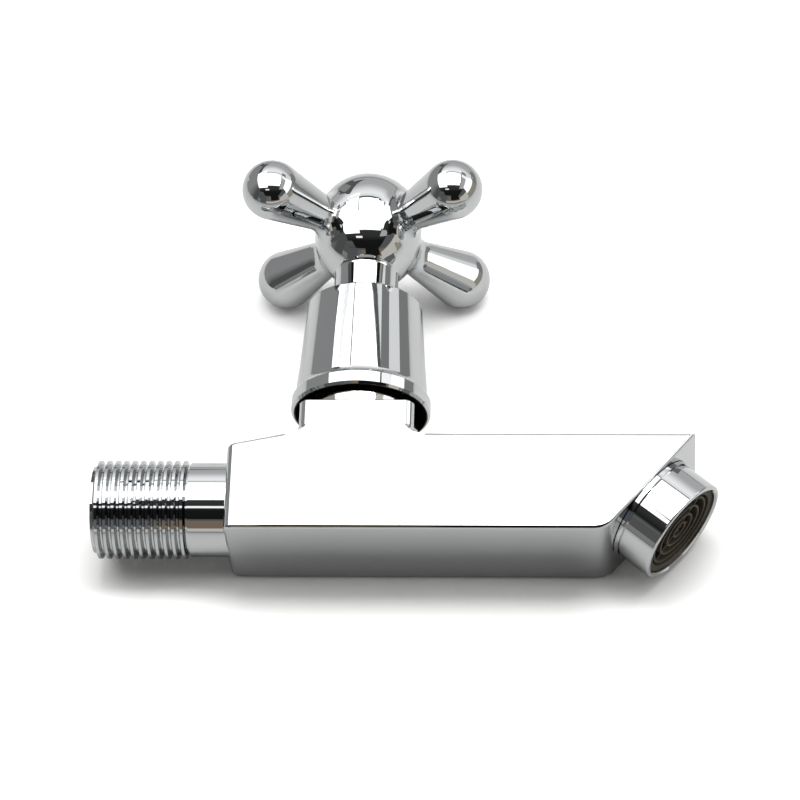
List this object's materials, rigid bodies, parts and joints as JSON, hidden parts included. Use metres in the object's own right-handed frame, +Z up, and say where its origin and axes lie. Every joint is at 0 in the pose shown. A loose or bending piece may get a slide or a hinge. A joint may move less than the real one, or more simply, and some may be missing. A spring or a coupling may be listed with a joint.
{
  "type": "wall tap",
  "caption": "Wall-mounted cold water tap with a threaded inlet, a square spout cut at a slant, a cross handle on a quarter turn ceramic cartridge, and a screw-on aerator.",
  "frame": {"origin": "on the inlet pipe's axis, at the end of the last thread crest", "axes": "+Z up along the handle's turning axis, +X from the wall towards the spout's end"},
  "size_m": [0.1324, 0.052, 0.0956],
  "materials": {
    "chrome_body": "polished chrome plate on brass",
    "chrome_cover": "polished chrome plate on pressed brass",
    "chrome_handle": "polished chrome plate on cast zinc",
    "chrome_aerator": "polished chrome plate on turned brass",
    "chrome_cap": "polished chrome plate",
    "nickel_cartridge": "bright nickel plate on turned brass",
    "brass_spindle": "turned brass",
    "brass_ring": "turned brass",
    "ceramic_disc": "lapped alumina",
    "fibre_washer": "matt pressed fibre",
    "black_rubber": "matt black rubber",
    "white_nylon": "matt nylon",
    "stainless_steel": "turned stainless steel",
    "stainless_mesh": "woven stainless wire",
    "dark_acetal": "satin moulded acetal",
    "blue_plastic": "gloss moulded plastic"
  },
  "bodies": {
    "root": {"tap_body": "chrome_body", "housing_washer": "fibre_washer", "cartridge_housing": "nickel_cartridge", "seat_seal": "black_rubber", "lower_ceramic_disc": "ceramic_disc", "friction_washer": "white_nylon", "bonnet_cover": "chrome_cover", "cover_lock_ring": "brass_ring", "aerator_housing": "chrome_aerator", "aerator_washer": "black_rubber", "aerator_body": "dark_acetal", "aerator_mixer_plate": "dark_acetal", "aerator_screen_coarse": "stainless_mesh", "aerator_screen_fine": "stainless_mesh", "aerator_outlet_grid": "dark_acetal"},
    "handle": {"cross_handle": "chrome_handle", "spline_insert": "white_nylon", "handle_screw": "stainless_steel", "index_cap": "chrome_cap", "cap_o_ring": "black_rubber", "index_disc": "blue_plastic", "spindle": "brass_spindle", "spindle_o_ring_lower": "black_rubber", "spindle_o_ring_upper": "black_rubber", "stop_ring": "stainless_steel", "spindle_circlip": "stainless_steel", "upper_ceramic_disc": "ceramic_disc"}
  },
  "joints": [
    {"name": "handle_turn", "type": "hinge", "parent": "root", "child": "handle", "pos_m": [0.0361, 0, 0], "axis": [0, 0, 1], "range_deg": [0, 90]}
  ]
}
